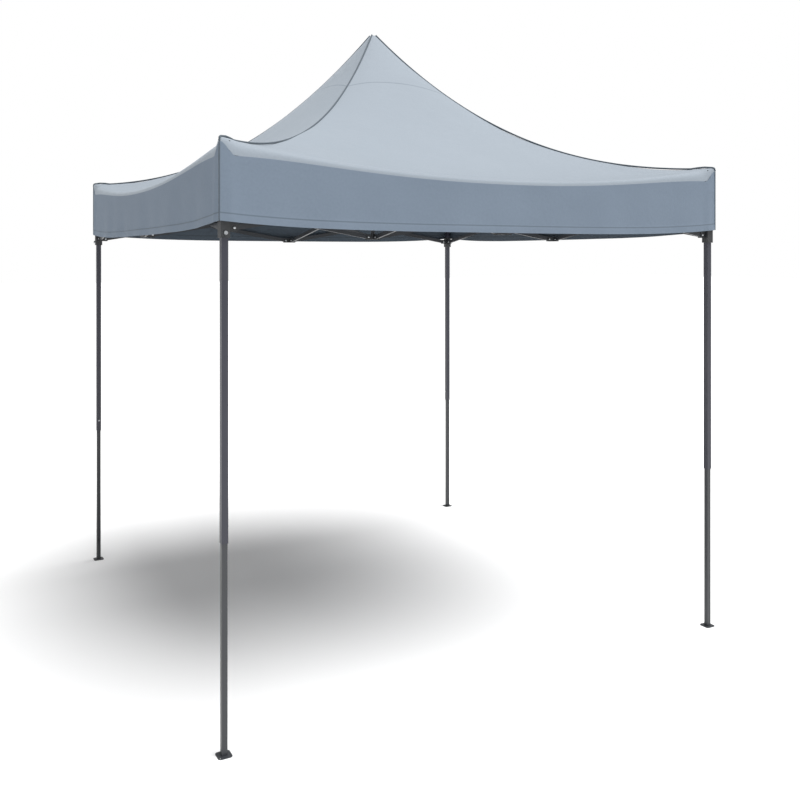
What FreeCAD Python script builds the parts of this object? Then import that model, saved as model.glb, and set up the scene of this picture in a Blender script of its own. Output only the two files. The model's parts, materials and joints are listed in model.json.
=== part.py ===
import FreeCAD, Part
import math
import os
import Sketcher

# Pop-up garden canopy: a square scissor frame on four telescoping legs, with a peaked fabric roof.
# Origin: on the ground under the peak. +Z up, the sides face along X and Y.

DIMENSIONS = {
    "leg_half": 1225,
    "outer_side": 25,
    "outer_wall": 1.2,
    "outer_bottom": 773,
    "outer_top": 2230,
    "inner_side": 21,
    "inner_wall": 1.2,
    "inner_top": 1073,
    "foot_side": 54,
    "foot_thick": 3,
    "peg_radius": 4,
    "peg_offset": 19,
    "foot_corner": 10.8,
    "lower_pivot": 1922,
    "upper_pivot": 2120,
    "leg_pivot": 38,
    "mid_pivot": 27,
    "mid_inner": 32,
    "hub_pivot": 33,
    "bar_depth": 22,
    "bar_thick": 11,
    "bar_wall": 0.9,
    "bar_end": 14,
    "plane_offset": 6.5,
    "plane_high": 9.5,
    "plane_low": -3.5,
    "pin_radius": 3,
    "head_gap": 0.1,
    "pin_clearance": 0.05,
    "head_radius": 5.5,
    "head_thick": 1.8,
    "cheek_thick": 2.5,
    "cheek_gap": 0.5,
    "cheek_depth": 28,
    "cheek_over": 12,
    "inner_start": 9.5,
    "core_half": 8.5,
    "core_back": 13,
    "hub_radius": 14.5,
    "pole_radius": 11,
    "pole_wall": 1.5,
    "guide_gap": 0.3,
    "guide_length": 135,
    "pole_top": 3019,
    "collar_half": 18,
    "leg_fit": 0.15,
    "slide_fit": 0.35,
    "cap_top": 2238,
    "bracket_bottom": 2100,
    "slider_bottom": 1884,
    "slider_top": 1950,
    "button_gap": 0.4,
    "button_chamfer": 1,
    "button_radius": 4.5,
    "button_height": 833,
    "button_proud": 4,
    "leg_travel": 720,
    "lock_radius": 4,
    "lock_knob": 7,
    "lock_length": 9,
    "lock_height": 1902,
    "eave_half": 1250,
    "eave_corner": 2246,
    "eave_middle": 2143,
    "hem_corner": 1944,
    "hem_middle": 1914,
    "peak": 3022,
    "peak_half": 14,
    "cloth_thick": 1.2,
    "hip_power": 2.35,
    "middle_power": 1.7,
}

doc = FreeCAD.newDocument("canopy_tent")
sheet = doc.addObject("Spreadsheet::Sheet", "dims")
for row, (alias, value) in enumerate(DIMENSIONS.items(), start=1):
    sheet.set(f"A{row}", alias)
    sheet.set(f"B{row}", str(value))
    sheet.setAlias(f"B{row}", alias)
doc.recompute()

Vector = FreeCAD.Vector
Z_AXIS = Vector(0, 0, 1)
X_AXIS = Vector(1, 0, 0)
CORNERS = {"front_left": 180, "front_right": 270, "back_right": 0, "back_left": 90}
SIDES = {"front": 180, "right": 270, "back": 0, "left": 90}
sub_parts = []


def dim(alias):
    return float(getattr(sheet, alias))


def bind(item, rules):
    """Ties an object's sizes and place to cells of the sheet."""
    for prop, rule in rules.items():
        item.setExpression(prop, rule)
    return item


def turned(degrees, base=Vector()):
    """A placement turned about the vertical."""
    return FreeCAD.Placement(base, FreeCAD.Rotation(Z_AXIS, degrees))


def keep(item, label):
    """Names a finished sub-part; its label is its file name."""
    item.Label = label
    sub_parts.append(item)
    return item


# ---- sketches and tubes -------------------------------------------------------------------


def origin_plane(body, role):
    return next(f for f in body.Origin.OriginFeatures if f.Role == role)


def sketch_on(body, role, name):
    sketch = body.newObject("Sketcher::SketchObject", name)
    sketch.AttachmentSupport = [(origin_plane(body, role), "")]
    sketch.MapMode = "FlatFace"
    return sketch


def centred_rectangle(sketch, name, wide, tall, wide_rule, tall_rule):
    """Four lines held symmetric about the sketch's origin, with a driven width and height."""
    first = sketch.GeometryCount
    ends = [(-wide, -tall), (wide, -tall), (wide, tall), (-wide, tall)]
    points = [Vector(x / 2, y / 2, 0) for x, y in ends]
    for i in range(4):
        sketch.addGeometry(Part.LineSegment(points[i], points[(i + 1) % 4]))
    for i in range(4):
        line, after = first + i, first + (i + 1) % 4
        sketch.addConstraint(Sketcher.Constraint("Coincident", line, 2, after, 1))
        level = "Horizontal" if i % 2 == 0 else "Vertical"
        sketch.addConstraint(Sketcher.Constraint(level, line))
    sketch.addConstraint(Sketcher.Constraint("Symmetric", first, 1, first + 2, 1, -1, 1))
    rules = (("DistanceX", first, wide, wide_rule), ("DistanceY", first + 1, tall, tall_rule))
    for kind, line, size, rule in rules:
        index = sketch.addConstraint(Sketcher.Constraint(kind, line, 1, line, 2, size))
        sketch.renameConstraint(index, name + kind)
        sketch.setExpression("Constraints." + name + kind, rule)


def bore_circle(sketch, name, x, y, radius, rules):
    """A circle whose centre and radius follow the sheet."""
    item = sketch.addGeometry(Part.Circle(Vector(x, y, 0), Z_AXIS, radius))
    index = sketch.addConstraint(Sketcher.Constraint("Radius", item, radius))
    sketch.renameConstraint(index, name + "Radius")
    sketch.setExpression("Constraints." + name + "Radius", rules["radius"])
    for kind, value in (("DistanceX", x), ("DistanceY", y)):
        if rules.get(kind):
            index = sketch.addConstraint(Sketcher.Constraint(kind, -1, 1, item, 3, value))
            sketch.renameConstraint(index, name + kind)
            sketch.setExpression("Constraints." + name + kind, rules[kind])
    if not rules.get("DistanceX"):
        sketch.addConstraint(Sketcher.Constraint("PointOnObject", item, 3, -2))
    if not rules.get("DistanceY"):
        sketch.addConstraint(Sketcher.Constraint("PointOnObject", item, 3, -1))


def tube(name, role, outside, wall, length_rule, from_middle):
    """A rectangular tube padded along the normal of one of its body's origin planes."""
    body = doc.addObject("PartDesign::Body", name)
    profile = sketch_on(body, role, name + "_profile")
    wide, tall = outside
    wall_size = dim(wall)
    rule = "dims.{0}".format
    centred_rectangle(profile, "out", dim(wide), dim(tall), rule(wide), rule(tall))
    inner = [f"dims.{side} - 2 * dims.{wall}" for side in outside]
    centred_rectangle(
        profile, "bore", dim(wide) - 2 * wall_size, dim(tall) - 2 * wall_size, *inner
    )
    pad = body.newObject("PartDesign::Pad", name + "_pad")
    pad.Profile = profile
    pad.Midplane = from_middle
    bind(pad, {"Length": length_rule})
    return body


def through_bores(body, name, role, circles):
    """Round holes cut right through a tube, checked by the volume they take away."""
    sketch = sketch_on(body, role, name + "_bores")
    for number, (x, y, radius, rules) in enumerate(circles):
        bore_circle(sketch, f"c{number}", x, y, radius, rules)
    doc.recompute()
    before = body.Shape.Volume
    pocket = body.newObject("PartDesign::Pocket", name + "_pocket")
    pocket.Profile = sketch
    pocket.Type = "ThroughAll"
    pocket.Midplane = True
    doc.recompute()
    cut_volume = before - body.Shape.Volume
    round_faces = [f for f in body.Shape.Faces if isinstance(f.Surface, Part.Cylinder)]
    if not cut_volume > 0 or len(round_faces) < 2 * len(circles):
        raise RuntimeError(name + ": a bore is missing")


# ---- primitives for the moulded connectors ---------------------------------------------------


def block(name, low, size):
    """A box from expressions: its lowest corner and its three sizes."""
    item = doc.addObject("Part::Box", name)
    sizes = dict(zip(("Length", "Width", "Height"), size))
    place = {f"Placement.Base.{axis}": rule for axis, rule in zip("xyz", low)}
    return bind(item, {**sizes, **place})


def rod(name, base, radius, length, across=False):
    """A cylinder from expressions, upright or lying along +Y."""
    item = doc.addObject("Part::Cylinder", name)
    if across:
        item.Placement = FreeCAD.Placement(Vector(), FreeCAD.Rotation(X_AXIS, -90))
    place = {f"Placement.Base.{axis}": rule for axis, rule in zip("xyz", base)}
    return bind(item, {"Radius": radius, "Height": length, **place})


def fused(name, items):
    item = doc.addObject("Part::MultiFuse", name)
    item.Shapes = items
    return item


def cut(name, base, tools):
    item = doc.addObject("Part::Cut", name)
    item.Base = base
    item.Tool = tools[0] if len(tools) == 1 else fused(name + "_tools", tools)
    return item


def grouped(name, items):
    item = doc.addObject("Part::Compound", name)
    item.Links = items
    return item


def pin(name, x, y, z, reach):
    """A headed pin lying along Y, with its middle at y: shank and two heads as one solid."""
    head = f"({reach}) + dims.head_gap"
    shank = rod(
        name + "_shank",
        (x, f"{y} - ({head})", z),
        "dims.pin_radius",
        f"2 * ({head})",
        across=True,
    )
    near = rod(
        name + "_near",
        (x, f"{y} - ({head}) - dims.head_thick", z),
        "dims.head_radius",
        "dims.head_thick",
        across=True,
    )
    far = rod(
        name + "_far", (x, f"{y} + ({head})", z), "dims.head_radius", "dims.head_thick", across=True
    )
    return fused(name, [shank, near, far])


HALF_FORK = "dims.bar_thick / 2 + dims.cheek_gap"
FORK_REACH = "dims.bar_thick / 2 + dims.cheek_gap + dims.cheek_thick"


def fork(name, start, pivot, plane, height, degrees=0):
    """Two cheeks that hold a bar end, their pin bore and the pin. Returns (cheeks, bore, pin)."""
    size = (f"{pivot} + dims.cheek_over - ({start})", "dims.cheek_thick", "dims.cheek_depth")
    low = f"{height} - dims.cheek_depth / 2"
    cheeks = [
        block(name + "_cheek_a", (start, f"{plane} - ({FORK_REACH})", low), size),
        block(name + "_cheek_b", (start, f"{plane} + {HALF_FORK}", low), size),
    ]
    bore = rod(
        name + "_bore",
        (pivot, f"{plane} - ({FORK_REACH}) - 1", height),
        "dims.pin_radius + dims.pin_clearance",
        f"2 * ({FORK_REACH}) + 2",
        across=True,
    )
    bolt = pin(name + "_pin", pivot, plane, height, FORK_REACH)
    made = [fused(name + "_cheeks", cheeks), grouped(name + "_hole", [bore]), bolt]
    for item in made:
        item.Placement = turned(degrees)
    return made


# ---- scissor bars --------------------------------------------------------------------------------

BAR_LENGTH = (
    "sqrt((dims.leg_half - dims.leg_pivot - dims.mid_pivot) ^ 2"
    " + (dims.upper_pivot - dims.lower_pivot) ^ 2)"
)
PIN_BORE = "dims.pin_radius + dims.pin_clearance"


def bar_length():
    span = dim("leg_half") - dim("leg_pivot") - dim("mid_pivot")
    return math.hypot(span, dim("upper_pivot") - dim("lower_pivot"))


def scissor_bar(label, start, end, heading, rivet_side=0):
    """A flat tube between two pivots, given as (along, height), in the plane at `across`."""
    body = tube(
        label + "_tube",
        "YZ_Plane",
        ("bar_thick", "bar_depth"),
        "bar_wall",
        f"{BAR_LENGTH} + 2 * dims.bar_end",
        True,
    )
    half = bar_length() / 2
    radius = dim("pin_radius") + dim("pin_clearance")
    circles = [(0, 0, radius, {"radius": PIN_BORE})]
    for sign in (-1, 1):
        rule = f"{sign} * {BAR_LENGTH} / 2"
        circles.append((sign * half, 0, radius, {"radius": PIN_BORE, "DistanceX": rule}))
    through_bores(body, label, "XZ_Plane", circles)
    item = body
    if rivet_side:
        rivet = pin(
            label + "_rivet",
            "0",
            f"{rivet_side} * dims.plane_offset",
            "0",
            "dims.plane_offset + dims.bar_thick / 2",
        )
        item = grouped(label, [body, rivet])
    (along_a, height_a), (along_b, height_b) = start[:2], end[:2]
    across = start[2]
    tilt = math.degrees(math.atan2(height_b - height_a, along_b - along_a))
    if abs(tilt) > 90:
        tilt -= math.copysign(180, tilt)
    middle = Vector((along_a + along_b) / 2, across, (height_a + height_b) / 2)
    local = FreeCAD.Placement(middle, FreeCAD.Rotation(Vector(0, 1, 0), -tilt))
    item.Placement = turned(heading).multiply(local)
    return keep(item, label)


def side_bars(side, heading):
    """The two scissors of one side: each has a bar from the leg's top and one from its slider."""
    low, high = dim("lower_pivot"), dim("upper_pivot")
    outer = dim("leg_half") - dim("leg_pivot")
    inner = dim("mid_pivot")
    for sign, corner in zip((1, -1), side_ends(heading)):
        name = f"{side}_truss_{corner}"
        across = dim("leg_half") + dim("plane_high")
        start, end = (sign * inner, low, across), (sign * outer, high, across)
        scissor_bar(name + "_leg_bar", start, end, heading, rivet_side=-1)
        across = dim("leg_half") + dim("plane_low")
        start, end = (sign * inner, high, across), (sign * outer, low, across)
        scissor_bar(name + "_slider_bar", start, end, heading)


def side_ends(heading):
    """The corners at the +X and the -X end of a side, in the side's own frame."""
    by_angle = {angle: corner for corner, angle in CORNERS.items()}
    return by_angle[heading], by_angle[(heading + 90) % 360]


def centre_bars(side, heading):
    """The scissor between the middle of one side and the two hubs."""
    low, high = dim("lower_pivot"), dim("upper_pivot")
    inner, outer = dim("hub_pivot"), dim("leg_half") - dim("mid_inner")
    shift = dim("plane_offset")
    start, end = (inner, high, -shift), (outer, low, -shift)
    scissor_bar(f"centre_truss_{side}_hub_bar", start, end, heading + 90, rivet_side=1)
    start, end = (inner, low, shift), (outer, high, shift)
    scissor_bar(f"centre_truss_{side}_lift_bar", start, end, heading + 90)


# ---- moulded connectors -------------------------------------------------------------------------


def connector(label, solids, forks, placement, bores=()):
    """One moulding from its blocks and fork cheeks, drilled for its pins, with the pins beside it."""
    cheeks, holes, pins = zip(*forks)
    body = cut(
        label + "_drilled",
        fused(label + "_moulding", [*solids, *cheeks]),
        [*holes, *bores],
    )
    item = grouped(label, [body, *pins])
    item.Placement = placement
    return keep(item, label)


def hub(label, height, plane, solids, bores):
    """Four forks round a centre tube, one for each centre truss."""
    forks = [
        fork(f"{label}_{side}", "0", "dims.hub_pivot", plane, height, heading + 90)
        for side, heading in SIDES.items()
    ]
    return connector(label, solids, forks, turned(0), bores)


def upper_hub():
    guide_low = "dims.upper_pivot - dims.guide_length"
    sleeve = rod(
        "hub_guide",
        ("0", "0", guide_low),
        "dims.hub_radius",
        "dims.guide_length + dims.cheek_depth / 2",
    )
    bore = rod(
        "hub_guide_bore",
        ("0", "0", guide_low + " - 1"),
        "dims.pole_radius + dims.guide_gap",
        "dims.guide_length + dims.cheek_depth + 2",
    )
    hub("upper_hub", "dims.upper_pivot", "-dims.plane_offset", [sleeve], [bore])


def lower_hub():
    bottom = "dims.lower_pivot - dims.cheek_depth / 2"
    socket = rod("hub_socket", ("0", "0", bottom), "dims.hub_radius", "dims.cheek_depth")
    bore = rod(
        "hub_socket_bore",
        ("0", "0", bottom + " + dims.foot_thick"),
        "dims.pole_radius + dims.leg_fit",
        "dims.cheek_depth",
    )
    hub("lower_hub", "dims.lower_pivot", "dims.plane_offset", [socket], [bore])


def centre_pole():
    """The pole that lifts the peak: a round tube with a domed end plug, standing in the lower hub."""
    bottom = "dims.lower_pivot - dims.cheek_depth / 2 + dims.foot_thick + dims.leg_fit"
    length = f"dims.pole_top - dims.pole_radius - ({bottom})"
    outside = rod("pole_outside", ("0", "0", bottom), "dims.pole_radius", length)
    inside = rod(
        "pole_inside",
        ("0", "0", bottom + " - 1"),
        "dims.pole_radius - dims.pole_wall",
        length + " + 1",
    )
    dome = doc.addObject("Part::Sphere", "pole_dome")
    bind(
        dome,
        {
            "Radius": "dims.pole_radius",
            "Placement.Base.z": "dims.pole_top - dims.pole_radius",
        },
    )
    keep(fused("centre_pole", [cut("pole_tube", outside, [inside]), dome]), "centre_pole")


def mid_connector(label, heading, plane, height, inner_plane, inner_low, inner_wide):
    """A T-shaped moulding: two forks along the side and one towards the hub."""
    base = f"{height} - dims.cheek_depth / 2"
    front = f"{plane} + {FORK_REACH}"
    core = block(
        label + "_core",
        ("-dims.core_half", "-dims.core_back", base),
        ("2 * dims.core_half", f"dims.core_back + {front}", "dims.cheek_depth"),
    )
    web = block(
        label + "_web",
        (inner_low, "-dims.core_back", base),
        (inner_wide, f"dims.core_back + {plane} - ({HALF_FORK})", "dims.cheek_depth"),
    )
    forks = [
        fork(label + "_a", "0", "dims.mid_pivot", plane, height, 0),
        fork(label + "_b", "0", "dims.mid_pivot", f"-({plane})", height, 180),
        fork(label + "_c", "dims.inner_start", "dims.mid_inner", inner_plane, height, 270),
    ]
    place = turned(heading)
    place.Base = place.multVec(Vector(0, dim("leg_half"), 0))
    connector(label, [core, web], forks, place)


def mid_connectors(side, heading):
    reach = f"dims.plane_offset + {FORK_REACH}"
    mid_connector(
        f"{side}_lower_joint",
        heading,
        "dims.plane_high",
        "dims.lower_pivot",
        "dims.plane_offset",
        "-dims.core_half",
        f"dims.core_half + {reach}",
    )
    mid_connector(
        f"{side}_upper_joint",
        heading,
        "dims.plane_low",
        "dims.upper_pivot",
        "-dims.plane_offset",
        f"-({reach})",
        f"dims.core_half + {reach}",
    )


# ---- legs ------------------------------------------------------------------------------------------


def corner_place(angle):
    place = turned(angle)
    place.Base = place.multVec(Vector(dim("leg_half"), dim("leg_half"), 0))
    return place


def collar(label, low, high, fit, closed):
    """A square sleeve on the outer leg; the bracket's is closed at the top."""
    outside = block(
        label + "_outside",
        ("-dims.collar_half", "-dims.collar_half", low),
        ("2 * dims.collar_half", "2 * dims.collar_half", f"{high} - ({low})"),
    )
    half = f"dims.outer_side / 2 + {fit}"
    top = "dims.outer_top + dims.leg_fit" if closed else f"{high} + 1"
    inside = block(
        label + "_inside",
        (f"-({half})", f"-({half})", f"{low} - 1"),
        (f"2 * ({half})", f"2 * ({half})", f"{top} - ({low}) + 1"),
    )
    return outside, inside


def corner_bracket(corner, angle):
    """The cap over a leg's top, with a fork for each of the two side trusses."""
    label = f"corner_bracket_{corner}"
    outside, inside = collar(label, "dims.bracket_bottom", "dims.cap_top", "dims.leg_fit", True)
    height, start = "dims.upper_pivot", "dims.outer_side / 2 + dims.leg_fit"
    forks = [
        fork(label + "_a", start, "dims.leg_pivot", "-dims.plane_high", height, 180),
        fork(label + "_b", start, "dims.leg_pivot", "dims.plane_high", height, 270),
    ]
    connector(label, [outside], forks, corner_place(angle), [inside])


def slider(corner, angle):
    """The sleeve that runs on the outer leg, with a fork for each side truss and a lock pin bore."""
    label = f"slider_{corner}"
    outside, inside = collar(
        label, "dims.slider_bottom", "dims.slider_top", "dims.slide_fit", False
    )
    height, start = "dims.lower_pivot", "dims.outer_side / 2 + dims.slide_fit"
    forks = [
        fork(label + "_a", start, "dims.leg_pivot", "-dims.plane_low", height, 180),
        fork(label + "_b", start, "dims.leg_pivot", "dims.plane_low", height, 270),
    ]
    bore = rod(
        label + "_lock_bore",
        ("0", "dims.outer_side / 2", "dims.lock_height"),
        "dims.lock_radius + dims.pin_clearance",
        "dims.collar_half",
        across=True,
    )
    connector(label, [outside], forks, corner_place(angle), [inside, bore])


def lock_pin(corner, angle):
    """The sprung pull pin that locks the slider at the top of the leg: a stem with a round knob."""
    label = f"lock_pin_{corner}"
    stem_start = "dims.outer_side / 2 + dims.slide_fit + dims.pin_clearance"
    face = "dims.collar_half + dims.pin_clearance"
    stem = rod(
        label + "_stem",
        ("0", stem_start, "dims.lock_height"),
        "dims.lock_radius",
        f"{face} - ({stem_start}) + 1",
        across=True,
    )
    knob = rod(
        label + "_knob",
        ("0", face, "dims.lock_height"),
        "dims.lock_knob",
        "dims.lock_length",
        across=True,
    )
    item = fused(label, [stem, knob])
    item.Placement = corner_place(angle)
    keep(item, label)


def outer_leg(corner, angle):
    """The upper leg tube, with one hole near its lower end for the height button."""
    label = f"outer_leg_{corner}"
    sides = ("outer_side", "outer_side")
    rule = "dims.outer_top - dims.outer_bottom"
    body = tube(label + "_tube", "XY_Plane", sides, "outer_wall", rule, False)
    height = dim("button_height") - dim("outer_bottom")
    rules = {
        "radius": "dims.button_radius + 2 * dims.pin_clearance",
        "DistanceY": "dims.button_height - dims.outer_bottom",
    }
    side_bore(body, label, height, rules)
    body.Placement = corner_place(angle)
    body.Placement.Base.z = dim("outer_bottom")
    keep(body, label)


def side_bore(body, name, height, rules, extra=()):
    """Round holes through the wall of a leg tube on its local -X side."""
    sketch = sketch_on(body, "YZ_Plane", name + "_bores")
    radius = dim("button_radius")
    bore_circle(sketch, "first", 0, height, radius, rules)
    for number, (place, rule) in enumerate(extra):
        more = {**rules, "DistanceY": rule}
        bore_circle(sketch, f"more{number}", 0, place, radius, more)
    doc.recompute()
    before = body.Shape.Volume
    pocket = body.newObject("PartDesign::Pocket", name + "_pocket")
    pocket.Profile = sketch
    bind(pocket, {"Length": "dims.outer_side"})
    doc.recompute()
    if not body.Shape.Volume < before:
        raise RuntimeError(name + ": the bore cut nothing")


def lower_leg(corner, angle):
    """The inner leg tube with its welded foot plate, which has a hole for a ground peg."""
    label = f"lower_leg_{corner}"
    sides = ("inner_side", "inner_side")
    rule = "dims.inner_top - dims.foot_thick"
    body = tube(label + "_tube", "XY_Plane", sides, "inner_wall", rule, False)
    rules = {
        "radius": "dims.button_radius + dims.button_gap",
        "DistanceY": "dims.button_height - dims.foot_thick",
    }
    height = dim("button_height") - dim("foot_thick")
    lowest = "dims.button_height - dims.foot_thick - dims.leg_travel"
    side_bore(body, label, height, rules, [(height - dim("leg_travel"), lowest)])
    body.Placement.Base.z = dim("foot_thick")
    plate = block(
        label + "_plate",
        ("-dims.foot_side / 2", "-dims.foot_side / 2", "0"),
        ("dims.foot_side", "dims.foot_side", "dims.foot_thick"),
    )
    rounded = doc.addObject("Part::Fillet", label + "_rounded")
    rounded.Base = plate
    doc.recompute()
    edges = enumerate(plate.Shape.Edges, start=1)
    upright = [i for i, e in edges if e.BoundBox.ZLength > e.BoundBox.XLength + e.BoundBox.YLength]
    corner_radius = dim("foot_corner")
    rounded.Edges = [(i, corner_radius, corner_radius) for i in upright]
    peg = rod(
        label + "_peg_hole",
        ("dims.peg_offset", "dims.peg_offset", "-1"),
        "dims.peg_radius",
        "dims.foot_thick + 2",
    )
    item = fused(label, [body, cut(label + "_drilled", rounded, [peg])])
    item.Placement = corner_place(angle)
    keep(item, label)


def height_button(corner, angle):
    """The snap button that locks the leg's height: a round stud with a tapered nose."""
    label = f"height_button_{corner}"
    wall = "dims.outer_side / 2"
    start = f"{wall} - dims.outer_wall + dims.pin_clearance"
    end = f"{wall} + dims.button_proud"
    stud = doc.addObject("Part::Cylinder", label + "_stud")
    nose = doc.addObject("Part::Cone", label + "_nose")
    lying = FreeCAD.Rotation(Vector(0, 1, 0), -90)
    for item in (stud, nose):
        item.Placement = FreeCAD.Placement(Vector(), lying)
    bind(
        stud,
        {
            "Radius": "dims.button_radius",
            "Height": f"{end} - ({start}) - 1",
            "Placement.Base.x": f"-({start})",
            "Placement.Base.z": "dims.button_height",
        },
    )
    bind(
        nose,
        {
            "Radius1": "dims.button_radius",
            "Radius2": "dims.button_radius - dims.button_chamfer",
            "Height": "1",
            "Placement.Base.x": f"-({end}) + 1",
            "Placement.Base.z": "dims.button_height",
        },
    )
    item = fused(label, [stud, nose])
    item.Placement = corner_place(angle)
    keep(item, label)


# ---- canopy cover ------------------------------------------------------------------------------------

ACROSS = 11
UPWARD = 13
SEAM_GAP = 0.05


def roof_height(u, v):
    """Height of the roof at u across a side (-1 to 1) and v from eave to peak (0 to 1)."""
    hip = dim("eave_corner") + (dim("peak") - dim("eave_corner")) * v ** dim("hip_power")
    middle = dim("eave_middle") + (dim("peak") - dim("eave_middle")) * v ** dim("middle_power")
    return middle + (hip - middle) * u * u


def roof_points(inset, drop):
    """A grid over one roof panel, from the eave up to the peak's small square."""
    rows = []
    for i in range(UPWARD):
        v = i / (UPWARD - 1)
        half = dim("eave_half") * (1 - v) + dim("peak_half") * v - inset * (1 - v / 2)
        across = [2 * j / (ACROSS - 1) - 1 for j in range(ACROSS)]
        rows.append([Vector(u * half, half, roof_height(u, v) - drop) for u in across])
    return rows


def hem_edge(inset):
    """The lower edge of one valance, slightly raised towards the corners."""
    half = dim("eave_half") - inset
    rise = dim("hem_corner") - dim("hem_middle")
    across = [2 * j / (ACROSS - 1) - 1 for j in range(ACROSS)]
    points = [Vector(u * half, half, dim("hem_middle") + rise * u**4) for u in across]
    curve = Part.BSplineCurve()
    curve.interpolate(points)
    return curve.toShape()


def cover_skin(inset, drop):
    """The roof panel, the valance panel, the hem edge and the peak edge of one side."""
    grid = roof_points(inset, drop)
    surface = Part.BSplineSurface()
    surface.interpolate(grid)
    first, last = surface.bounds()[:2]
    eave, top = surface.uIso(first).toShape(), surface.uIso(last).toShape()
    hem = hem_edge(inset)
    return surface.toShape(), Part.makeRuledSurface(eave, hem), hem, top


def canopy_cover():
    """The sewn cover as one closed thin solid: four roof panels, four valances, open below."""
    cloth = dim("cloth_thick")
    outer, inner = cover_skin(0, 0), cover_skin(cloth, 1.5 * cloth)
    rim = Part.makeRuledSurface(outer[2], inner[2])
    faces = []
    tops = ([], [])
    for angle in SIDES.values():
        for face in (outer[0], outer[1], inner[0], inner[1], rim):
            faces.append(face.rotated(Vector(), Z_AXIS, angle))
        for edges, skin in zip(tops, (outer, inner)):
            edges.append(skin[3].rotated(Vector(), Z_AXIS, angle))
    for edges in tops:
        line = [Part.makeLine(e.Vertexes[0].Point, e.Vertexes[-1].Point) for e in edges]
        faces.append(Part.Face(Part.Wire(Part.__sortEdges__(line))))
    shell = Part.makeShell(faces)
    shell.sewShape(SEAM_GAP)
    solid = Part.Solid(shell if shell.ShapeType == "Shell" else shell.Shells[0])
    if solid.Volume < 0:
        solid.reverse()
    item = doc.addObject("Part::Feature", "canopy_cover")
    item.Shape = solid
    keep(item, "canopy_cover")


# ---- assembly ------------------------------------------------------------------------------------------

upper_hub()
lower_hub()
centre_pole()
for side_name, side_heading in SIDES.items():
    centre_bars(side_name, side_heading)
    mid_connectors(side_name, side_heading)
    side_bars(side_name, side_heading)
for corner_name, corner_angle in CORNERS.items():
    outer_leg(corner_name, corner_angle)
    corner_bracket(corner_name, corner_angle)
    slider(corner_name, corner_angle)
    lock_pin(corner_name, corner_angle)
    lower_leg(corner_name, corner_angle)
    height_button(corner_name, corner_angle)
canopy_cover()
doc.recompute()

for made in doc.Objects:
    if "Invalid" in made.State or "Error" in made.State:
        raise RuntimeError(f"{made.Name} failed: {made.State}")
for sub_part in sub_parts:
    if sub_part.Shape.isNull() or not sub_part.Shape.isValid():
        raise RuntimeError(f"{sub_part.Label} has no valid shape")

os.makedirs("parts", exist_ok=True)
for sub_part in sub_parts:
    sub_part.Shape.exportStep(f"parts/{sub_part.Label}.step")
print(len(sub_parts), "sub-parts")
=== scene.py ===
import json
import math

import bmesh
import bpy
import numpy as np
from mathutils import Matrix, Vector, noise

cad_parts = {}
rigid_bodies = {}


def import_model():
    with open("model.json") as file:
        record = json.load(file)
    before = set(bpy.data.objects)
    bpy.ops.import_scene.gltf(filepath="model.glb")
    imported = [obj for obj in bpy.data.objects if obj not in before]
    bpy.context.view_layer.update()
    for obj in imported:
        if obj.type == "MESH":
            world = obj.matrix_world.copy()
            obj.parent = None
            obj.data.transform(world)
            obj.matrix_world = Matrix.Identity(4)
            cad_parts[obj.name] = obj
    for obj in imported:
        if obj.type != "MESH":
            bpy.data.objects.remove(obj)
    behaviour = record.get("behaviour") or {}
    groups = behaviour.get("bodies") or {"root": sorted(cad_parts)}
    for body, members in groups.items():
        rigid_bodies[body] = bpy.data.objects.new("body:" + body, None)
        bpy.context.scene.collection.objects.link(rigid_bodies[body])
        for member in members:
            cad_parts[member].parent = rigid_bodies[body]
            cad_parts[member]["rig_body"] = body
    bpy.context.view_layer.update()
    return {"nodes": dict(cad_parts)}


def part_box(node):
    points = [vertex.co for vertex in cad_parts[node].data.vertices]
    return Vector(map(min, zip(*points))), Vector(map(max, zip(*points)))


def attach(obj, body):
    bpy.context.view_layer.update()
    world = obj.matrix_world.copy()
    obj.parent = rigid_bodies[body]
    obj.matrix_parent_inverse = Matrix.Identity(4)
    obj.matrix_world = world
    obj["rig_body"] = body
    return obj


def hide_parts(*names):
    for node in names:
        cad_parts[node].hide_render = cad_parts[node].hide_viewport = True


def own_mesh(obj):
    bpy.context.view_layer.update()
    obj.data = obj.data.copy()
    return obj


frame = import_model()
nodes = frame["nodes"]


# ---- Legs and scissor bars ----------------------------------------------------------------
# Square and flat steel tube, roll-formed and seam-welded, cut to length and powder coated
# dark grey. The lower legs run inside the upper ones and end in a welded foot plate.


def srgb(code):
    """A hex colour as linear red, green, blue, alpha."""
    parts = [int(code[i : i + 2], 16) / 255 for i in (1, 3, 5)]
    return (*[p / 12.92 if p <= 0.04045 else ((p + 0.055) / 1.055) ** 2.4 for p in parts], 1.0)


def add_node(tree, kind, links=None, values=None, **settings):
    """Adds a node, sets its properties and input values, and links its inputs."""
    made = tree.nodes.new(kind)
    for name, value in settings.items():
        setattr(made, name, value)
    for name, value in (values or {}).items():
        made.inputs[name].default_value = value
    for name, source in (links or {}).items():
        tree.links.new(source, made.inputs[name])
    return made


def new_material(name, **values):
    """A material with an empty surface but for its shader, whose plain inputs are set here."""
    material = bpy.data.materials.new(name)
    material.use_nodes = True
    tree = material.node_tree
    shader = tree.nodes["Principled BSDF"]
    for socket, value in values.items():
        shader.inputs[socket.replace("_", " ")].default_value = value
    return material, tree, shader


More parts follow.
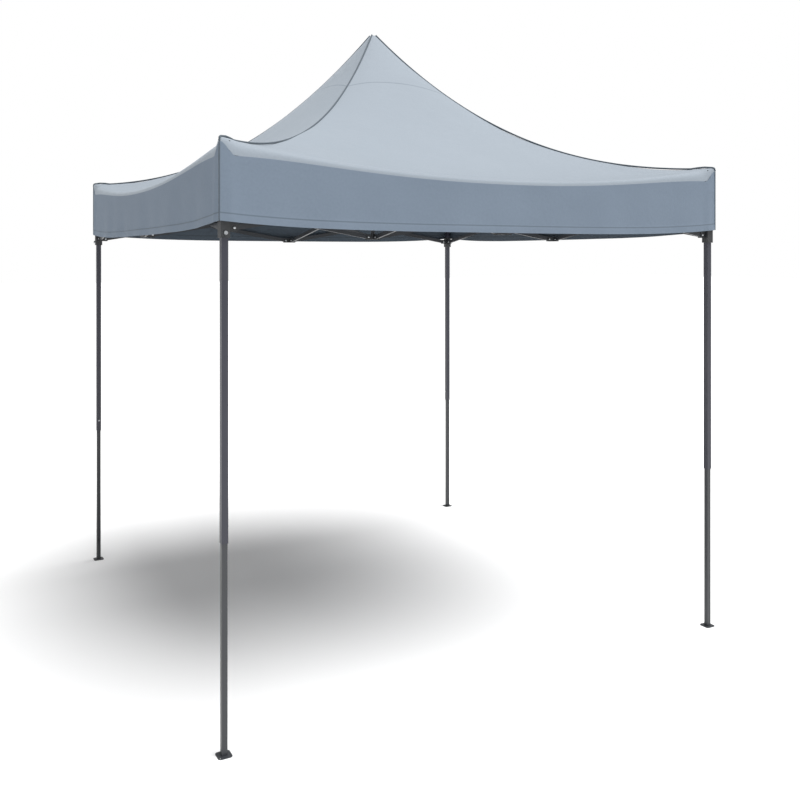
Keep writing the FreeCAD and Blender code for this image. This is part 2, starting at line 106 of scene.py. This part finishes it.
def powder_coat(name, colour, worn):
    """Polyester powder coat: satin, with the faint orange peel of melted powder, paler where rubbed."""
    material, tree, shader = new_material(name, IOR=1.5)
    place = add_node(tree, "ShaderNodeTexCoord").outputs["Object"]
    peel_size, rub_size = 0.0025, 0.18
    peel = add_node(
        tree, "ShaderNodeTexNoise", {"Vector": place}, {"Scale": 1 / peel_size, "Detail": 2.0}
    )
    rub = add_node(
        tree, "ShaderNodeTexNoise", {"Vector": place}, {"Scale": 1 / rub_size, "Detail": 6.0}
    )
    shade = add_node(
        tree,
        "ShaderNodeMix",
        {"Factor": rub.outputs["Fac"]},
        {"A": srgb(colour), "B": srgb(worn)},
        data_type="RGBA",
    )
    gloss = add_node(
        tree,
        "ShaderNodeMapRange",
        {"Value": rub.outputs["Fac"]},
        {"To Min": 0.32, "To Max": 0.5},
    )
    bump = add_node(
        tree,
        "ShaderNodeBump",
        {"Height": peel.outputs["Fac"]},
        {"Strength": 0.25, "Distance": 0.0004},
    )
    tree.links.new(shade.outputs["Result"], shader.inputs["Base Color"])
    tree.links.new(gloss.outputs["Result"], shader.inputs["Roughness"])
    tree.links.new(bump.outputs["Normal"], shader.inputs["Normal"])
    return material


def coat(names, material):
    """Gives CAD nodes one material all over."""
    for name in names:
        mesh = nodes[name].data
        mesh.materials.clear()
        mesh.materials.append(material)


upper_coat = powder_coat("powder_coat_upper_leg", "#292A34", "#33343E")
lower_coat = powder_coat("powder_coat_lower_leg", "#2C2E31", "#383A3E")
bar_coat = powder_coat("powder_coat_bar", "#202327", "#2B2E33")
coat([n for n in nodes if n.startswith("outer_leg")], upper_coat)
coat([n for n in nodes if n.startswith("lower_leg")], lower_coat)
coat([n for n in nodes if n.endswith("_bar") or n == "centre_pole"], bar_coat)


# ---- Moulded connectors ---------------------------------------------------------------------
# Hubs, corner brackets, sliders and mid joints, injection moulded in black glass-filled nylon.
# The glass near the skin leaves a dull, finely grained surface.


def moulded_nylon():
    material, tree, shader = new_material("glass_filled_nylon", IOR=1.53)
    place = add_node(tree, "ShaderNodeTexCoord").outputs["Object"]
    grain_size, flow_size = 0.0012, 0.03
    grain = add_node(
        tree, "ShaderNodeTexNoise", {"Vector": place}, {"Scale": 1 / grain_size, "Detail": 3.0}
    )
    flow = add_node(
        tree, "ShaderNodeTexNoise", {"Vector": place}, {"Scale": 1 / flow_size, "Detail": 4.0}
    )
    shade = add_node(
        tree,
        "ShaderNodeMix",
        {"Factor": flow.outputs["Fac"]},
        {"A": srgb("#1E2022"), "B": srgb("#2B2D30")},
        data_type="RGBA",
    )
    gloss = add_node(
        tree,
        "ShaderNodeMapRange",
        {"Value": grain.outputs["Fac"]},
        {"To Min": 0.45, "To Max": 0.65},
    )
    bump = add_node(
        tree,
        "ShaderNodeBump",
        {"Height": grain.outputs["Fac"]},
        {"Strength": 0.35, "Distance": 0.0003},
    )
    tree.links.new(shade.outputs["Result"], shader.inputs["Base Color"])
    tree.links.new(gloss.outputs["Result"], shader.inputs["Roughness"])
    tree.links.new(bump.outputs["Normal"], shader.inputs["Normal"])
    return material


MOULDED = ("upper_hub", "lower_hub", "corner_bracket", "slider", "front_", "right_", "back_", "left_")
moulded = [n for n in nodes if n.startswith(MOULDED) and not n.endswith("_bar")]
coat(moulded, moulded_nylon())


# ---- Height buttons and lock pins -------------------------------------------------------------
# Turned steel, zinc plated: the sprung studs in the legs and the pull pins of the sliders.
# The plating is bright but cloudy, with fine turning marks.


def zinc_plate():
    material, tree, shader = new_material("zinc_plated_steel", Metallic=1.0)
    place = add_node(tree, "ShaderNodeTexCoord").outputs["Object"]
    cloud_size, mark_size = 0.008, 0.0008
    cloud = add_node(
        tree, "ShaderNodeTexNoise", {"Vector": place}, {"Scale": 1 / cloud_size, "Detail": 5.0}
    )
    marks = add_node(
        tree, "ShaderNodeTexNoise", {"Vector": place}, {"Scale": 1 / mark_size, "Detail": 1.0}
    )
    shade = add_node(
        tree,
        "ShaderNodeMix",
        {"Factor": cloud.outputs["Fac"]},
        {"A": srgb("#9DA1A5"), "B": srgb("#BFC2C4")},
        data_type="RGBA",
    )
    gloss = add_node(
        tree,
        "ShaderNodeMapRange",
        {"Value": cloud.outputs["Fac"]},
        {"To Min": 0.22, "To Max": 0.42},
    )
    bump = add_node(
        tree,
        "ShaderNodeBump",
        {"Height": marks.outputs["Fac"]},
        {"Strength": 0.2, "Distance": 0.0001},
    )
    tree.links.new(shade.outputs["Result"], shader.inputs["Base Color"])
    tree.links.new(gloss.outputs["Result"], shader.inputs["Roughness"])
    tree.links.new(bump.outputs["Normal"], shader.inputs["Normal"])
    return material


zinc = zinc_plate()
coat([n for n in nodes if n.startswith(("height_button", "lock_pin"))], zinc)


# ---- Bolt heads -----------------------------------------------------------------------------------
# Every pivot is a zinc-plated steel bolt with a domed cap on each end, pressed on after the
# bars are in their forks. One group of caps for each moulding or bar that carries pins.


def pin_ends(node):
    """The two ends of each pin in a CAD node: its place and the way it faces."""
    mesh = bmesh.new()
    mesh.from_mesh(node.data)
    bmesh.ops.remove_doubles(mesh, verts=mesh.verts, dist=1e-6)
    longest_pin = 0.04
    seen, ends = set(), []
    for vert in mesh.verts:
        if vert in seen:
            continue
        island, edge = {vert}, [vert]
        while edge:
            for link in edge.pop().link_edges:
                for other in link.verts:
                    if other not in island:
                        island.add(other)
                        edge.append(other)
        seen |= island
        points = np.array([v.co for v in island])
        low, high = points.min(0), points.max(0)
        size = high - low
        if size.max() < longest_pin:
            axis = int(size.argmax())
            facing = Vector([0.0, 0.0, 0.0])
            facing[axis] = 1.0
            middle = Vector((low + high) / 2)
            half = size[axis] / 2
            ends.append((middle + facing * half, facing.copy()))
            ends.append((middle - facing * half, -facing))
    mesh.free()
    return ends


def cap_tree(material):
    """Puts a domed cap on each point, turned to the point's facing."""
    tree = bpy.data.node_groups.new("domed_caps", "GeometryNodeTree")
    face = tree.interface
    face.new_socket("Geometry", in_out="INPUT", socket_type="NodeSocketGeometry")
    face.new_socket("Cap radius", in_out="INPUT", socket_type="NodeSocketFloat")
    face.new_socket("Cap height", in_out="INPUT", socket_type="NodeSocketFloat")
    face.new_socket("Geometry", in_out="OUTPUT", socket_type="NodeSocketGeometry")
    given = add_node(tree, "NodeGroupInput").outputs
    dome = add_node(
        tree,
        "GeometryNodeMeshUVSphere",
        {"Radius": given["Cap radius"]},
        {"Segments": 16, "Rings": 10},
    )
    share = add_node(
        tree,
        "ShaderNodeMath",
        {0: given["Cap height"], 1: given["Cap radius"]},
        operation="DIVIDE",
    )
    scale = add_node(tree, "ShaderNodeCombineXYZ", {"Z": share.outputs[0]}, {"X": 1.0, "Y": 1.0})
    flat = add_node(
        tree,
        "GeometryNodeTransform",
        {"Geometry": dome.outputs["Mesh"], "Scale": scale.outputs["Vector"]},
    )
    facing = add_node(
        tree, "GeometryNodeInputNamedAttribute", values={"Name": "facing"}, data_type="FLOAT_VECTOR"
    )
    turn = add_node(
        tree, "FunctionNodeAlignRotationToVector", {"Vector": facing.outputs["Attribute"]}, axis="Z"
    )
    spread = add_node(
        tree,
        "GeometryNodeInstanceOnPoints",
        {
            "Points": given["Geometry"],
            "Instance": flat.outputs["Geometry"],
            "Rotation": turn.outputs["Rotation"],
        },
    )
    real = add_node(tree, "GeometryNodeRealizeInstances", {"Geometry": spread.outputs["Instances"]})
    painted = add_node(
        tree, "GeometryNodeSetMaterial", {"Geometry": real.outputs["Geometry"]}, {"Material": material}
    )
    smooth = add_node(tree, "GeometryNodeSetShadeSmooth", {"Geometry": painted.outputs["Geometry"]})
    add_node(tree, "NodeGroupOutput", {"Geometry": smooth.outputs["Geometry"]})
    return tree


def baked(made, name):
    """The evaluated result of an object's modifiers as a plain mesh object."""
    graph = bpy.context.evaluated_depsgraph_get()
    mesh = bpy.data.meshes.new_from_object(made.evaluated_get(graph))
    old = made.data
    made.modifiers.clear()
    made.data = mesh
    mesh.name = name
    if old.users == 0:
        bpy.data.meshes.remove(old)
    return made


def linked(mesh, name):
    made = bpy.data.objects.new(name, mesh)
    bpy.context.scene.collection.objects.link(made)
    return made


def caps_on(node_name, tree, radius, height):
    ends = pin_ends(nodes[node_name])
    if not ends:
        return
    mesh = bpy.data.meshes.new("caps_" + node_name)
    mesh.from_pydata([place for place, _ in ends], [], [])
    facing = mesh.attributes.new("facing", "FLOAT_VECTOR", "POINT")
    facing.data.foreach_set("vector", [x for _, way in ends for x in way])
    made = linked(mesh, "caps_" + node_name)
    modifier = made.modifiers.new("caps", "NODES")
    modifier.node_group = tree
    sockets = {s.name: s.identifier for s in tree.interface.items_tree if s.in_out == "INPUT"}
    modifier[sockets["Cap radius"]] = radius
    modifier[sockets["Cap height"]] = height
    baked(made, made.name)
    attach(made, nodes[node_name]["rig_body"])


caps = cap_tree(zinc)
cap_radius, cap_height = 0.0056, 0.0022
for carrier in sorted(nodes):
    if carrier in moulded or carrier.endswith(("_leg_bar", "_hub_bar")):
        caps_on(carrier, caps, cap_radius, cap_height)


# ---- Canopy cover: its shape -------------------------------------------------------------------
# One cover of polyester Oxford cloth, sewn from four roof panels and four valances. It is
# pulled over the corner brackets and the peak pole, so its hips and its eaves sag between them.

cover_low, cover_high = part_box("canopy_cover")
half = cover_high.x
peak = cover_high.z - 0.002
hem_middle = cover_low.z + 0.002
sizes = {
    "corner": 2.246,
    "middle": 2.143,
    "hem_corner": 1.946,
    "peak_half": 0.012,
    "hip_power": 2.35,
    "middle_power": 1.7,
    "across_power": 2.2,
}
SIDES = {"front": 180, "right": 270, "back": 0, "left": 90}
CORNERS = {"front_left": 180, "front_right": 270, "back_right": 0, "back_left": 90}
by_angle = {angle: corner for corner, angle in CORNERS.items()}
hem_depth = 0.03
seam_at = 0.766
# how many rolls of the eave lie below it on the valance, and above it on the roof
rolls_below, rolls_above = 1.3, 1.1


def turned(heading):
    return Matrix.Rotation(math.radians(heading), 3, "Z")


def roof_height(u, v):
    """Height of the roof at u across a side (-1 to 1) and v from eave to peak (0 to 1)."""
    hip = sizes["corner"] + (peak - sizes["corner"]) * v ** sizes["hip_power"]
    middle = sizes["middle"] + (peak - sizes["middle"]) * v ** sizes["middle_power"]
    share = abs(u) ** sizes["across_power"]
    return middle + (hip - middle) * share


def roof_point(u, v):
    reach = half * (1 - v) + sizes["peak_half"] * v
    return Vector((u * reach, reach, roof_height(u, v)))


def roll(u):
    """How far the cloth rolls over the eave: wide near a corner, tight over the bracket itself."""
    middle_roll, corner_extra, tight_roll = 0.016, 0.034, 0.01
    bracket_from, bracket_ease = 0.95, 0.045
    near = min(1.0, max(0.0, (abs(u) - bracket_from) / bracket_ease))
    full = middle_roll + corner_extra * abs(u) ** 6
    return full + (tight_roll - full) * near * near * (3 - 2 * near)


def eave_point(u, bend):
    """A point of the rounded eave: bend runs from 0 on the valance to 1 on the roof."""
    start = Vector((u * half, half, roof_height(u, 0) - rolls_below * roll(u)))
    middle = Vector((u * half, half, roof_height(u, 0)))
    end = roof_point(u, rolls_above * roll(u) / half)
    return start * (1 - bend) ** 2 + middle * 2 * bend * (1 - bend) + end * bend**2


def hem_height(u):
    return hem_middle + (sizes["hem_corner"] - hem_middle) * abs(u) ** 4


def cloth_wave(place):
    """Slow unevenness of stretched cloth, the same wherever two panels meet."""
    broad_scale, broad_height = 2.3, 0.006
    small_scale, small_height = 7.0, 0.0018
    broad = noise.noise(place * broad_scale) * broad_height
    return broad + noise.noise(place * small_scale) * small_height


def corner_pull(place):
    """Small pleats that fan out from a corner, where the cloth is drawn over its bracket."""
    fan_reach, pleat_height, pleats = 0.7, 0.004, 14
    wander, wander_scale = 3, 3.0
    away = Vector((half - abs(place.x), half - abs(place.y)))
    distance = away.length
    if distance > fan_reach or distance < 1e-6:
        return 0.0
    angle = math.atan2(away.y, away.x)
    fade = math.sin(math.pi * min(distance / fan_reach, 1.0)) ** 2
    shift = wander * noise.noise(place * wander_scale)
    return pleat_height * fade * math.sin(pleats * angle + shift)


def over_bracket(place):
    """How far the cloth is lifted where it lies over the square cap of a corner bracket."""
    start, ease, lift = half - 0.085, 0.035, 0.004
    rise = 1.0
    for way in (abs(place.x), abs(place.y)):
        share = min(1.0, max(0.0, (way - start) / ease))
        rise *= share * share * (3 - 2 * share)
    return lift * rise


def roof_surface(u, t, rows):
    """Point t of a roof strip: the first part is the rolled eave and the rest the sloping roof."""
    bend_rows = 7
    if t <= bend_rows:
        spot = eave_point(u, t / bend_rows)
    else:
        first = rolls_above * roll(u) / half
        share = (t - bend_rows) / (rows - bend_rows)
        spot = roof_point(u, first + (1 - first) * share)
    spot.z += over_bracket(spot) * min(1.0, t / 3)
    return spot


def grid_mesh(name, points, lengths):
    """A mesh over a grid of points, with its UV in metres of cloth."""
    rows, columns = len(points), len(points[0])
    faces = []
    for r in range(rows - 1):
        for c in range(columns - 1):
            a = r * columns + c
            faces.append((a, a + 1, a + columns + 1, a + columns))
    mesh = bpy.data.meshes.new(name)
    mesh.from_pydata([p for row in points for p in row], [], faces)
    layer = mesh.uv_layers.new(name="cloth")
    for loop in mesh.loops:
        r, c = divmod(loop.vertex_index, columns)
        layer.data[loop.index].uv = lengths[r][c]
    mesh.shade_smooth()
    return mesh


def outward(mesh):
    """Turns every face of a sheet away from the tent's middle."""
    inside = Vector((0, 0, hem_middle))
    total = sum((f.center - inside).dot(f.normal) for f in mesh.polygons)
    if total < 0:
        mesh.flip_normals()
    return mesh


# ---- Canopy cover: its cloth ----------------------------------------------------------------------
# Polyester Oxford, about 240 g a square metre, piece dyed blue grey, with a coating on the
# inside that keeps water and sun out. Roof and valances are one cloth in two copies: the roof's copy is
# lighter in colour, painted light from above, and has a soft sheen along the weave;
# the valances' copy is darker, painted shade, and duller. The inside's dark colour is painted shade under
# the roof.


def oxford_cloth(name, colour, worn, dark_seam, sheen):
    """Woven cloth with thread bump, slow shade changes and the needle line of the roof seam."""
    material, tree, shader = new_material(name, IOR=1.5, Sheen_Weight=sheen, Sheen_Roughness=0.4)
    shader.inputs["Sheen Tint"].default_value = srgb("#DCE4EC")
    given = add_node(tree, "ShaderNodeTexCoord")
    cloth = given.outputs["UV"]
    # the threads are 0.5 mm apart and drawn at 3 mm, so that the weave shows up close
    thread = 0.003
    shade_scale, slub_scale, crease_scale = 1.6, 90.0, 9.0
    parts = add_node(tree, "ShaderNodeSeparateXYZ", {"Vector": cloth})
    ridges = []
    for axis in ("X", "Y"):
        turns = add_node(
            tree,
            "ShaderNodeMath",
            {0: parts.outputs[axis]},
            {1: 2 * math.pi / thread},
            operation="MULTIPLY",
        )
        ridges.append(add_node(tree, "ShaderNodeMath", {0: turns.outputs[0]}, operation="SINE"))
    weave = add_node(
        tree,
        "ShaderNodeMath",
        {0: ridges[0].outputs[0], 1: ridges[1].outputs[0]},
        operation="MULTIPLY",
    )
    slow = add_node(
        tree,
        "ShaderNodeTexNoise",
        {"Vector": given.outputs["Object"]},
        {"Scale": shade_scale, "Detail": 5.0, "Roughness": 0.55},
    )
    slub = add_node(
        tree,
        "ShaderNodeTexNoise",
        {"Vector": cloth},
        {"Scale": slub_scale, "Detail": 3.0},
    )
    crease = add_node(
        tree,
        "ShaderNodeTexNoise",
        {"Vector": given.outputs["Object"]},
        {"Scale": crease_scale, "Detail": 4.0, "Distortion": 0.6},
    )
    mixed = add_node(
        tree,
        "ShaderNodeMath",
        {0: slow.outputs["Fac"], 1: slub.outputs["Fac"]},
        operation="MULTIPLY",
    )
    shade = add_node(
        tree,
        "ShaderNodeMix",
        {"Factor": mixed.outputs[0]},
        {"A": srgb(colour), "B": srgb(worn)},
        data_type="RGBA",
    )
    seam = add_node(tree, "ShaderNodeAttribute", attribute_name="seam")
    away = add_node(tree, "ShaderNodeMath", {0: seam.outputs["Fac"]}, operation="ABSOLUTE")
    stitched = add_node(
        tree,
        "ShaderNodeMapRange",
        {"Value": away.outputs[0]},
        {"From Min": 0.0015, "From Max": 0.0035, "To Min": 1.0, "To Max": 0.0},
    )
    sewn = add_node(
        tree,
        "ShaderNodeMix",
        {"Factor": stitched.outputs["Result"], "A": shade.outputs["Result"]},
        {"B": srgb(dark_seam)},
        data_type="RGBA",
    )
    threads = add_node(
        tree,
        "ShaderNodeBump",
        {"Height": weave.outputs[0]},
        {"Strength": 0.25, "Distance": 0.0003},
    )
    folds = add_node(
        tree,
        "ShaderNodeBump",
        {"Height": crease.outputs["Fac"], "Normal": threads.outputs["Normal"]},
        {"Strength": 0.22, "Distance": 0.012},
    )
    tree.links.new(sewn.outputs["Result"], shader.inputs["Base Color"])
    tree.links.new(folds.outputs["Normal"], shader.inputs["Normal"])
    shader.inputs["Roughness"].default_value = 0.78
    return material


# one cloth in two copies: the roof's colour is lighter as painted light from above, the valances' darker as
# painted shade
roof_cloth_painted_light = oxford_cloth("polyester_oxford_roof_painted_light", "#818A93", "#8F97A0", "#717A83", 0.3)
valance_cloth_painted_shade = oxford_cloth("polyester_oxford_valance_painted_shade", "#647180", "#717E8C", "#56626E", 0.05)
# the inside is coloured darker than the outside as painted shade under the roof
inner_cloth_painted_shade = oxford_cloth("polyester_oxford_coated_inside_painted_shade", "#39434D", "#434E58", "#2F383F", 0.0)


def mark_seam(mesh, values):
    """A point attribute with the distance to the nearest row of stitching, in metres."""
    seam = mesh.attributes.new("seam", "FLOAT", "POINT")
    seam.data.foreach_set("value", values)


def thickened(made, cloth, thick):
    """Gives a single sheet its thickness, with the coated inside as the second material."""
    made.data.materials.append(cloth)
    made.data.materials.append(inner_cloth_painted_shade)
    solid = made.modifiers.new("cloth", "SOLIDIFY")
    solid.thickness = thick
    solid.offset = -1.0
    solid.material_offset = 1
    baked(made, made.name).data.set_sharp_from_angle(angle=math.radians(50))
    return made


# ---- Canopy cover: how it rides on the frame -----------------------------------------------------
# As the frame folds, the legs come together and the peak pole sinks between them. The roof
# strips ride with the lower hub and keep their shape; real cloth gathers in one bundle on the
# folded frame's top.


def gather(piece):
    """Gives a strip of roof its own copy of its mesh."""
    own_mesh(piece)


# ---- Roof panels ------------------------------------------------------------------------------------
# Four triangles of cloth, each sewn from two lengths with a level lapped seam below the peak.
# Each panel is made as strips that meet edge to edge.

strips_per_side = 6
roof_rows = 64
strip_columns = 16


def roof_strip(side, heading, number):
    turn = turned(heading)
    # the unevenness fades out over the last sixth below the peak and the first 0.12 m of eave
    peak_ease, eave_ease = 6, 0.12
    points, lengths, seams = [], [], []
    run = [0.0] * (strip_columns + 1)
    for r in range(roof_rows + 1):
        row, uv = [], []
        for c in range(strip_columns + 1):
            u = 2 * (number + c / strip_columns) / strips_per_side - 1
            flat = turn @ roof_surface(u, r, roof_rows)
            reach = half - max(abs(flat.x), abs(flat.y))
            fade = min(1.0, (1 - reach / half) * peak_ease) * min(1.0, reach / eave_ease)
            flat.z += (cloth_wave(flat) + corner_pull(flat)) * fade
            if r:
                run[c] += (flat - points[-1][c]).length
            row.append(flat)
            uv.append((u * half, run[c]))
            seams.append(reach - seam_at * half)
        points.append(row)
        lengths.append(uv)
    name = f"roof_{side}_{number + 1}"
    mesh = grid_mesh(name, points, lengths)
    mark_seam(mesh, seams)
    made = thickened(linked(outward(mesh), name), roof_cloth_painted_light, thick=0.0008)
    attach(made, "lower_hub")
    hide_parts("canopy_cover")
    gather(made)


for side_name, side_heading in SIDES.items():
    for strip in range(strips_per_side):
        roof_strip(side_name, side_heading, strip)


# ---- Valances ------------------------------------------------------------------------------------------
# The upright skirt below each eave, cut as one strip a side, with a doubled hem stitched
# along its lower edge. It hangs free between the legs and ripples a little.

valance_rows = 26
valance_columns = 120


def valance_ripple(x, share):
    """How far the hanging cloth stands in or out: more towards the hem, none at the corner."""
    long_wave, short_wave, short_share = 0.62, 0.27, 0.6
    swing_height, stand_off, corner_ease = 0.0042, 0.005, 0.25
    pleat_at, pleat_width, pleat_height = 0.045, 0.022, 0.005
    from_corner = half - abs(x)
    hang = 1 - share
    swing = math.sin(2 * math.pi * x / long_wave + 0.8)
    swing = swing + short_share * math.sin(2 * math.pi * x / short_wave + 2.0)
    ease = min(1.0, from_corner / corner_ease)
    pleat = math.exp(-((from_corner - pleat_at) / pleat_width) ** 2)
    fold_out = pleat_height * pleat * (0.35 + 0.65 * hang)
    return ease * hang * (swing_height * swing + stand_off) + fold_out


def half_valance(side, heading, sign, corner):
    turn = turned(heading)
    hem_thick, eave_take_up = 0.0012, 0.02
    wrinkle_scale, wrinkle_height, top_ease, corner_ease = 5.5, 0.003, 5, 0.1
    points, lengths, seams = [], [], []
    for r in range(valance_rows + 1):
        share = r / valance_rows
        row, uv = [], []
        for c in range(valance_columns + 1):
            u = sign * c / valance_columns
            top, bottom = eave_point(u, 0).z, hem_height(u)
            height = bottom + (top - bottom) * share
            y = half + valance_ripple(u * half, share)
            above = height - bottom
            fold_over = hem_thick if above < hem_depth else 0.0
            spot = Vector((u * half, y, height))
            fade = min(1.0, (1 - share) * top_ease)
            turned_spot = turn @ spot
            wrinkle = noise.noise(turned_spot * wrinkle_scale) * wrinkle_height
            y += fade * wrinkle * min(1.0, (half - abs(spot.x)) / corner_ease)
            row.append(turn @ Vector((spot.x, y + fold_over, height)))
            uv.append((u * half, above))
            seams.append(above - hem_depth)
        points.append(row)
        lengths.append(uv)
    name = f"valance_{side}_{corner}"
    mesh = grid_mesh(name, points, lengths)
    mark_seam(mesh, seams)
    made = thickened(linked(outward(mesh), name), valance_cloth_painted_shade, thick=0.0009)
    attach(made, "outer_leg_" + corner)
    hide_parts("canopy_cover")
    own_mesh(made)


for side_name, side_heading in SIDES.items():
    half_valance(side_name, side_heading, 1, by_angle[side_heading])
    half_valance(side_name, side_heading, -1, by_angle[(side_heading + 90) % 360])


# ---- Piping ----------------------------------------------------------------------------------------------
# The hips and the corners are sewn with the seam turned out and bound in a darker tape,
# folded over a cord, which stands up as a thin welt along each edge.


def binding_tape():
    material, tree, shader = new_material("polyester_binding_tape", IOR=1.5, Sheen_Weight=0.1)
    place = add_node(tree, "ShaderNodeTexCoord").outputs["Object"]
    rib = add_node(
        tree, "ShaderNodeTexNoise", {"Vector": place}, {"Scale": 400.0, "Detail": 2.0}
    )
    shade = add_node(
        tree,
        "ShaderNodeMix",
        {"Factor": rib.outputs["Fac"]},
        {"A": srgb("#3C464F"), "B": srgb("#4F5A63")},
        data_type="RGBA",
    )
    bump = add_node(
        tree,
        "ShaderNodeBump",
        {"Height": rib.outputs["Fac"]},
        {"Strength": 0.5, "Distance": 0.0006},
    )
    tree.links.new(shade.outputs["Result"], shader.inputs["Base Color"])
    tree.links.new(bump.outputs["Normal"], shader.inputs["Normal"])
    shader.inputs["Roughness"].default_value = 0.8
    return material


tape = binding_tape()


def welt(name, line, radius, body):
    """A closed round welt that follows a line of points."""
    sides = 10
    mesh = bmesh.new()
    rings = []
    for i, spot in enumerate(line):
        before, after = line[max(i - 1, 0)], line[min(i + 1, len(line) - 1)]
        along = (after - before).normalized()
        across = along.cross(Vector((0, 0, 1)))
        if across.length < 0.2:
            across = along.cross(Vector((spot.y, -spot.x, 0)).normalized())
        across.normalize()
        up = across.cross(along).normalized()
        ring = []
        for k in range(sides):
            angle = 2 * math.pi * k / sides
            ring.append(mesh.verts.new(spot + radius * (math.cos(angle) * across + math.sin(angle) * up)))
        rings.append(ring)
    for first, second in zip(rings, rings[1:]):
        for k in range(sides):
            after = (k + 1) % sides
            mesh.faces.new((first[k], first[after], second[after], second[k]))
    mesh.faces.new(rings[0])
    mesh.faces.new(rings[-1])
    bmesh.ops.recalc_face_normals(mesh, faces=mesh.faces)
    data = bpy.data.meshes.new(name)
    mesh.to_mesh(data)
    mesh.free()
    data.shade_smooth()
    data.materials.append(tape)
    made = linked(data, name)
    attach(made, body)
    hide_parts("canopy_cover")
    return made


hip_points = 60
stand_up = 0.001
ear_height, ear_at, ear_width = 0.004, 0.03, 0.02
for corner_name, corner_angle in CORNERS.items():
    turn_to = turned(corner_angle)
    hip = []
    for r in range(hip_points + 1):
        spot = roof_surface(1.0, r, hip_points)
        from_corner = (half - spot.x) / half
        # the binding stands up in a short ear where the hip passes over the bracket
        spot.z += stand_up + ear_height * math.exp(-(((from_corner - ear_at) / ear_width) ** 2))
        hip.append(turn_to @ spot)
    hip_welt = welt("hip_piping_" + corner_name, hip, radius=0.0042, body="lower_hub")
    gather(hip_welt)
    steps = 24
    top, bottom = eave_point(1.0, 0).z, hem_height(1.0)
    upright = [
        turn_to @ Vector((half, half, bottom + (top - bottom) * i / steps)) for i in range(steps + 1)
    ]
    leg = "outer_leg_" + corner_name
    welt("corner_piping_" + corner_name, upright, radius=0.0028, body=leg)


# ---- Floor, light and camera ---------------------------------------------------------------------------
# A plain pale floor under soft light from above and from the front, with a level camera at
# standing eye height, a little to the left of the front.

floor_mesh = bpy.data.meshes.new("floor")
reach = 60.0
floor_mesh.from_pydata(
    [(-reach, -reach, 0), (reach, -reach, 0), (reach, reach, 0), (-reach, reach, 0)], [], [(0, 1, 2, 3)]
)
floor = linked(floor_mesh, "floor")
floor_paint, _, floor_shader = new_material("pale_floor", Roughness=0.9)
floor_shader.inputs["Base Color"].default_value = srgb("#F4F4F4")
floor_mesh.materials.append(floor_paint)

world = bpy.data.worlds.new("studio")
world.use_nodes = True
sky = world.node_tree
sky.nodes["Background"].inputs["Strength"].default_value = 0.45
sky.nodes["Background"].inputs["Color"].default_value = srgb("#FFFFFF")
backdrop = add_node(
    sky, "ShaderNodeBackground", values={"Color": srgb("#FFFFFF"), "Strength": 1.0}
)
ray = add_node(sky, "ShaderNodeLightPath")
chosen = add_node(
    sky,
    "ShaderNodeMixShader",
    {
        0: ray.outputs["Is Camera Ray"],
        1: sky.nodes["Background"].outputs["Background"],
        2: backdrop.outputs["Background"],
    },
)
sky.links.new(chosen.outputs["Shader"], sky.nodes["World Output"].inputs["Surface"])
bpy.context.scene.world = world

sun_data = bpy.data.lights.new("soft_sun", "SUN")
sun_data.energy = 4.6
sun_data.angle = math.radians(50)
sun = linked(sun_data, "soft_sun")
sun.rotation_euler = Vector((0.28, -0.28, 1.0)).to_track_quat("Z", "Y").to_euler()

camera_data = bpy.data.cameras.new("camera")
camera_data.lens = 41.04
camera_data.sensor_width = 36.0
camera_data.shift_y = -0.1797
camera = linked(camera_data, "camera")
camera.location = (-2.244, -4.449, 1.817)
camera.rotation_euler = (math.radians(90), 0, math.radians(-28.47))
bpy.context.scene.camera = camera
bpy.context.scene.view_settings.view_transform = "Standard"
